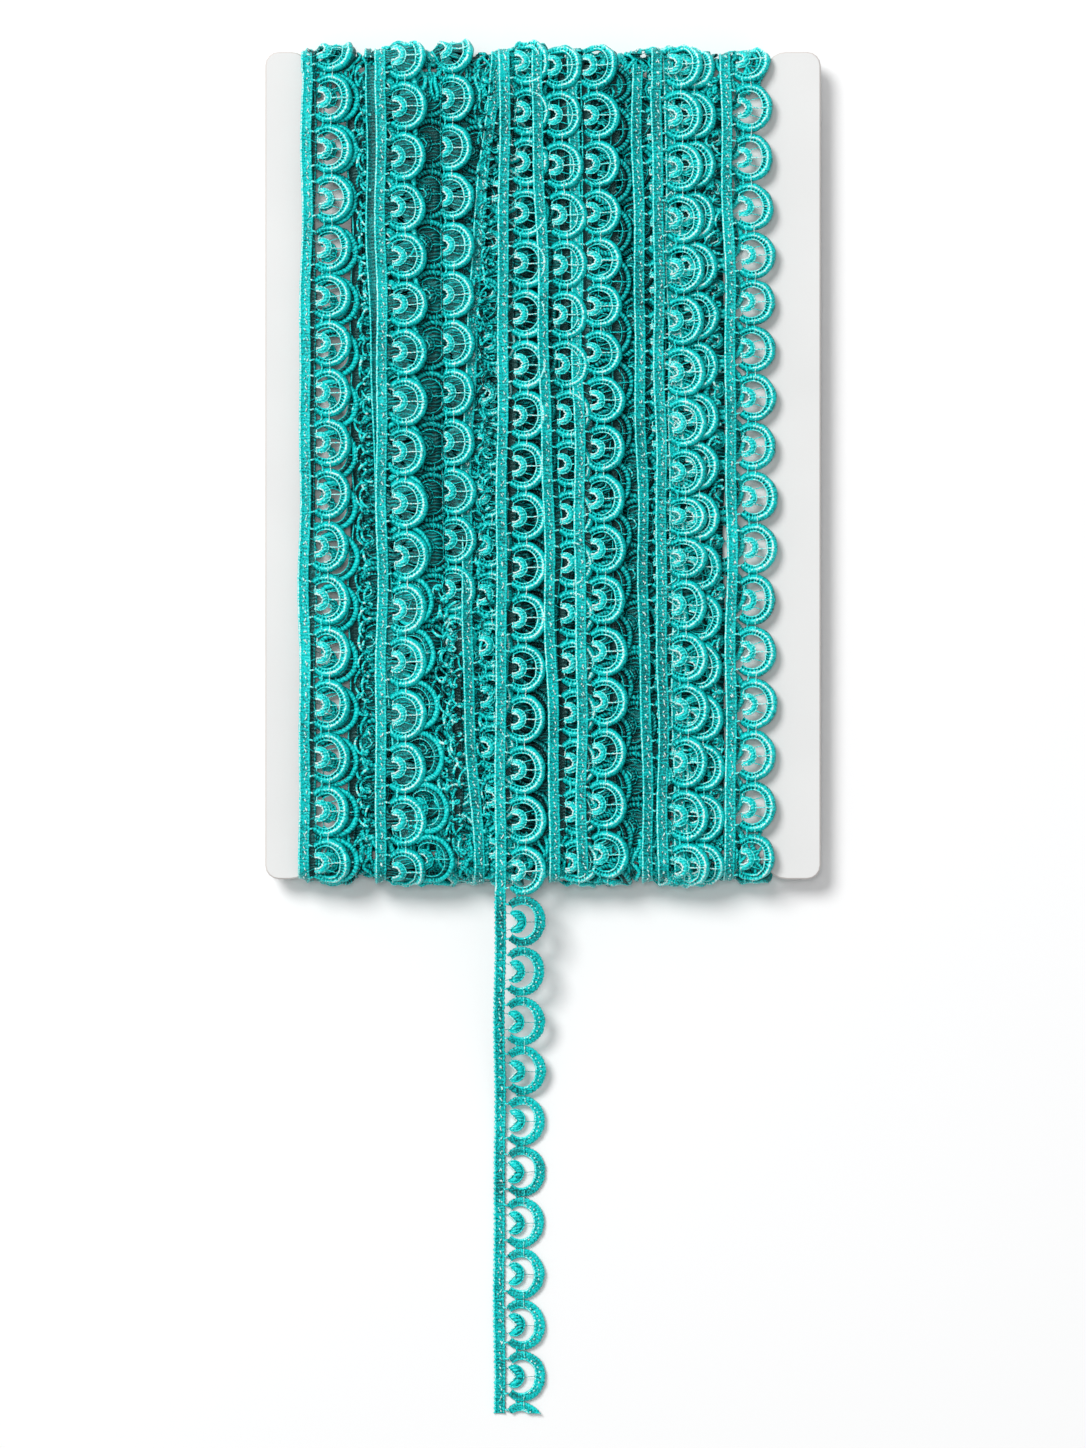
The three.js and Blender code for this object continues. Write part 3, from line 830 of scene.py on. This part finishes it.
def thread_material():
    """Twisted satin thread: the twist and the ply follow each cord, paler on the raised ones as painted
    highlight and darker where the tone is low as painted shade.
    """
    material, shader, node, links = nodes_of("trim_thread")

    def math_node(operation, *values):
        return node("ShaderNodeMath", dict(enumerate(values)), operation=operation).outputs[0]

    yarn = node("ShaderNodeAttribute", attribute_name="yarn").outputs["Vector"]
    tone = node("ShaderNodeAttribute", attribute_name="tone").outputs["Fac"]
    along, cos, sin = node("ShaderNodeSeparateXYZ", {0: yarn}).outputs
    place = node("ShaderNodeTexCoord").outputs["Object"]
    knot = node("ShaderNodeTexNoise", {"Vector": place, "Scale": 420.0, "Detail": 1.0}).outputs[0]
    fine = {"Vector": place, "Scale": 2500.0, "Detail": 2.0, "Roughness": 0.6}
    fibre = node("ShaderNodeTexNoise", fine).outputs[0]
    patch = node("ShaderNodeTexNoise", {"Vector": place, "Scale": 160.0, "Detail": 2.0}).outputs[0]
    turn_angle = math_node("MULTIPLY", math_node("MULTIPLY_ADD", knot, 1.8, along), 2 * math.pi / PLY_LENGTH)
    twist = math_node(
        "ADD",
        math_node("MULTIPLY", math_node("SINE", turn_angle), cos),
        math_node("MULTIPLY", math_node("COSINE", turn_angle), sin),
    )
    twist = math_node("MULTIPLY", twist, math_node("MULTIPLY_ADD", knot, 2.6, -0.4))
    # The upward side of each cord is made paler: a painted highlight from the lamps above.
    crest = math_node("MAXIMUM", sin, 0.0)
    grain = math_node("SUBTRACT", fibre, 0.5)
    # The fibre speckle is partly the thread's own uneven colour and, where it grows with the tone, painted
    # glints on the bright parts.
    shade = math_node("MULTIPLY", tone, math_node("MULTIPLY_ADD", grain, 1.5, 0.66))
    shade = math_node("MULTIPLY_ADD", crest, 0.22, shade)
    # The stripes of the twist and the ribs in the colour stand partly for the rungs' own pattern and partly
    # for painted highlight on the ply's ridges.
    shade = math_node("MULTIPLY_ADD", twist, 0.15, shade)
    shade = math_node("MULTIPLY_ADD", grain, 0.45, shade)
    shade = math_node("MULTIPLY_ADD", math_node("SUBTRACT", patch, 0.5), 0.3, shade)
    # The ramp runs from near-black teal, used for painted shade, through the thread's own teal to near white,
    # used for painted highlight.
    color = ramp(
        node,
        shade,
        [
            (0.0, linear(0, 30, 32)),
            (0.17, linear(0, 122, 122)),
            (0.38, linear(0, 208, 206)),
            (0.62, linear(16, 232, 228)),
            (0.8, linear(130, 248, 242)),
            (1.0, linear(235, 254, 251)),
        ],
    )
    links.new(color, shader.inputs["Base Color"])
    relief = math_node("MULTIPLY_ADD", twist, 0.5, math_node("MULTIPLY", fibre, 0.9))
    bump = node("ShaderNodeBump", {"Height": relief, "Distance": 0.00016, "Strength": 0.9})
    links.new(bump.outputs[0], shader.inputs["Normal"])
    shader.inputs["Roughness"].default_value = 0.32
    shader.inputs["Specular IOR Level"].default_value = 0.45
    shader.inputs["Specular Tint"].default_value = linear(170, 255, 250)
    return material


def card_material():
    """Smooth matte white board with a faint tooth, its slanted bevelled edges painted a darker warm grey as
    painted shade.
    """
    material, shader, node, links = nodes_of("card_board")
    place = node("ShaderNodeTexCoord").outputs["Object"]
    grain = node("ShaderNodeTexNoise", {"Vector": place, "Scale": 900.0, "Detail": 4.0}).outputs[0]
    cloud = node("ShaderNodeTexNoise", {"Vector": place, "Scale": 30.0, "Detail": 2.0}).outputs[0]
    facing = node("ShaderNodeNewGeometry").outputs["Normal"]
    up = node("ShaderNodeSeparateXYZ", {0: facing}).outputs[2]
    flat = node("ShaderNodeMath", {0: up}, operation="ABSOLUTE").outputs[0]
    face = ramp(node, cloud, [(0.35, linear(227, 227, 226)), (0.65, linear(231, 231, 230))])
    # The edge colour goes where the surface slants away from facing up: painted shade on the bevels.
    edge = linear(205, 196, 190)
    band = ramp(node, flat, [(0.6, (1, 1, 1, 1)), (0.97, (0, 0, 0, 1))])
    mixed = node("ShaderNodeMix", {0: band, 6: face, 7: edge}, data_type="RGBA")
    links.new(mixed.outputs[2], shader.inputs["Base Color"])
    bump = node("ShaderNodeBump", {"Height": grain, "Distance": 0.00004, "Strength": 0.5})
    links.new(bump.outputs[0], shader.inputs["Normal"])
    shader.inputs["Roughness"].default_value = 0.55
    return material


def floor_material():
    """Matte paper, very slightly uneven in its white."""
    material, shader, node, links = nodes_of("floor_paper")
    place = node("ShaderNodeTexCoord").outputs["Object"]
    cloud = node("ShaderNodeTexNoise", {"Vector": place, "Scale": 3.0, "Detail": 2.0}).outputs[0]
    color = ramp(node, cloud, [(0.3, linear(250, 250, 250)), (0.7, linear(252, 252, 252))])
    links.new(color, shader.inputs["Base Color"])
    shader.inputs["Roughness"].default_value = 0.9
    shader.inputs["Specular IOR Level"].default_value = 0.1
    return material


# The wound turns

THREAD = thread_material()


def wound_turn(number, name, following_name):
    """A turn's piece: its front, its way round the back, and its rise on to the following turn."""
    facts = TURNS[name]
    following = TURNS[following_name]
    buried = name.startswith("under")
    usual = BACK_DETAIL if buried else FRONT_DETAIL
    behind = PLAIN if buried else LACE[BACK_DETAIL]
    route = turn_route(facts, following)
    spans, front_count = spans_of(facts, following, route)
    near, far = front_count + 2, len(spans) - 3
    late = dict(facts, far_bulge=following.get("swell", USUAL_SWELL), dim=following.get("dim", 0.0))
    for key in ("lean", "fold", "spread", "heading_painted_light"):
        late[key] = following.get(key, 0)
    runs = [
        (LACE[facts.get("detail", usual)], spans[: near + 1], facts),
        (behind, spans[near : far + 1], facts),
        (LACE[following.get("detail", FRONT_DETAIL)], spans[far:], late),
    ]
    parts = [drape(lace, route, marks, with_facts, WOUND_SEED + number) for lace, marks, with_facts in runs]
    return piece_of(f"turn_{name}", gather(parts), THREAD)


# The last turn, and the free length that it runs on as


def last_route(facts):
    """Over the far end, down the front, down a slope and along the floor."""
    route = Route()
    straight = facts["reach"] - FOLD_RADIUS
    fold_run(route, bend(facts["heading"], straight), straight, 1, facts["level"], BACK_LEVEL)
    front_run(route, facts, straight - 1, FRONT_END)
    y = np.arange(FRONT_END - 1, FREE_END - PAST_THE_CUT, -1.0)
    share = np.clip((y - FREE_FLAT_START) / (SLOPE_START - FREE_FLAT_START), 0, 1)
    rise = facts["level"] - CLOTH_HALF
    z = CLOTH_HALF + rise * share**2 * (3 - 2 * share)
    slope = np.gradient(z, y)
    size = np.hypot(slope, 1)
    route.extend(bend(facts["heading"], y), y, z, -slope / size, 1 / size)
    return route.finish()


def cut_square(part, end):
    """A run cut off across, with the cords that cross the cut ending on it."""
    position, faces, yarn, tone = part
    beyond = position[:, 1] < end
    faces = faces[~beyond[faces].all(axis=1)]
    position = position.copy()
    position[:, 1] = np.maximum(position[:, 1], end)
    return position, faces, yarn, tone


def last_turn():
    """The last turn's piece and the free length's."""
    facts = dict(TURNS["last"], far_bulge=TURNS["last"]["swell"])
    route = last_route(facts)
    on_front = route.points[:, 2] > facts["level"] - 0.01
    first_place = facts["first"] + REPEAT / 2
    first_mark = np.interp(-first_place, -route.points[on_front, 1], route.length[on_front])
    front_marks = first_mark + REPEAT * np.arange(FRONT_MARKS)
    free_marks = front_marks[-1] + FREE_PITCH * np.arange(FREE_REPEATS + 1)
    wound_marks = np.concatenate([[first_mark - REPEAT], front_marks])
    wound_part = drape(LACE[FRONT_DETAIL], route, wound_marks, facts, LAST_SEED, 0.6)
    free_part = drape(FREE_LACE, route, free_marks, dict(facts, dim=0.09), FREE_SEED, 0.6)
    position, faces, yarn, tone = cut_square(gather([wound_part, free_part]), FREE_END)
    free = position[faces][:, :, 1].mean(axis=1) < WOUND_END
    return (
        piece_of("turn_last", (position, faces[~free], yarn, tone), THREAD),
        piece_of("free_lace", (position, faces[free], yarn, tone), THREAD, closed=True),
    )


# Deeper turns, seen only between the others


def deep_turns():
    """The draped runs of the turns under those in TURNS, plain behind the card."""
    parts = []
    for number, heading in enumerate(DEEP_HEADINGS):
        bent = (heading, heading + 1.0, heading - 0.6)
        facts = turn(bent, 9.7, 96.0 - 1.7 * number, REPEAT, reach=103.9, back=(heading, 3.2))
        # Their dim is painted shade, for they lie beneath the others.
        facts["dim"] = 0.6
        route = turn_route(facts, facts)
        spans, front_count = spans_of(facts, facts, route)
        near, far = front_count + 2, len(spans) - 3
        shown = LACE[COARSE_DETAIL if heading in COARSE_HEADINGS else BACK_DETAIL]
        for lace, marks in ((shown, spans[: near + 1]), (PLAIN, spans[near : far + 1]), (shown, spans[far:])):
            parts.append(drape(lace, route, marks, facts, DEEP_SEED + number, 2.2))
    return parts


def innermost_turns():
    """The draped runs of the plain turns round the card, with lace on the front of the last one."""
    parts = []
    for number, heading in enumerate(INNERMOST_HEADINGS):
        facts = turn((heading, heading, heading), 8.7, 96.0, REPEAT, reach=102.5, back=(heading - 3.0, 4.2))
        route = turn_route(facts, facts)
        spans, front_count = spans_of(facts, facts, route)
        near = 0
        if heading == INNERMOST_HEADINGS[-1]:
            near = front_count + 2
            # The dim of the lace on the last one is painted shade.
            lace_facts = dict(facts, dim=0.25)
            parts.append(drape(LACE[BACK_DETAIL], route, spans[: near + 1], lace_facts, INNERMOST_SEED - 1))
        parts.append(drape(PLAIN, route, spans[near:], facts, INNERMOST_SEED + number))
    return parts


names = list(TURNS)
wound = [wound_turn(number, name, names[number + 1]) for number, name in enumerate(names[:-1])]
turn_last, free_lace = last_turn()
wound.append(turn_last)
wound.append(piece_of("turns_beneath", gather(deep_turns() + innermost_turns()), THREAD))
fillings = [crushed(*row, CREVICE_SEED + number) for number, row in enumerate(CREVICES)]
fillings.append(wraps(-60.2, 56.0, 1.1, WRAP_SEED))
wound.append(piece_of("crushed_threads", gather(fillings), THREAD))

for piece in wound:
    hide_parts("wound_trim")
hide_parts("free_length")

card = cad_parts["card"]
card.material_slots[0].material = card_material()

# The floor, the lights and the camera, with their places in metres

FLOOR_SIZE = 6.0
SKY_COLOUR = (0.98, 0.99, 1.0, 1)
SKY_STRENGTH = 0.36
# The camera looks straight down. The view's distance and height are in millimetres, and are those
# at the middle of the pack's thickness.
CAMERA_PLACE = (0, -0.0656, 1.2065)
VIEW_DISTANCE = 1200
VIEW_HEIGHT = 367.8
SENSOR = 36

bpy.ops.mesh.primitive_plane_add(size=FLOOR_SIZE, location=(0, 0, 0))
floor = bpy.context.object
floor.name = "floor"
floor.data.materials.append(floor_material())

world = bpy.data.worlds.new("studio")
bpy.context.scene.world = world
world.use_nodes = True
world.node_tree.nodes["Background"].inputs[0].default_value = SKY_COLOUR
world.node_tree.nodes["Background"].inputs[1].default_value = SKY_STRENGTH


def soft_light(name, place, target, size, power):
    """A round lamp at a place, turned to a target."""
    data = bpy.data.lights.new(name, "AREA")
    data.shape = "DISK"
    data.size = size
    data.energy = power
    lamp = bpy.data.objects.new(name, data)
    lamp.location = place
    direction = [target[i] - place[i] for i in range(3)]
    yaw = math.atan2(direction[1], direction[0])
    tilt = math.atan2(math.hypot(direction[0], direction[1]), -direction[2])
    lamp.rotation_euler = (tilt, 0, yaw - math.pi / 2)
    bpy.context.scene.collection.objects.link(lamp)


soft_light("key", (-1.7, 1.85, 3.0), (0, -0.05, 0), 1.7, 119.0)
soft_light("top", (-0.2, 0.3, 3.4), (0, -0.05, 0), 0.8, 17.0)

camera_data = bpy.data.cameras.new("camera")
camera_data.lens = SENSOR * VIEW_DISTANCE / VIEW_HEIGHT
camera_data.sensor_width = SENSOR
camera = bpy.data.objects.new("camera", camera_data)
camera.location = CAMERA_PLACE
bpy.context.scene.collection.objects.link(camera)
bpy.context.scene.camera = camera
bpy.context.scene.view_settings.view_transform = "Standard"
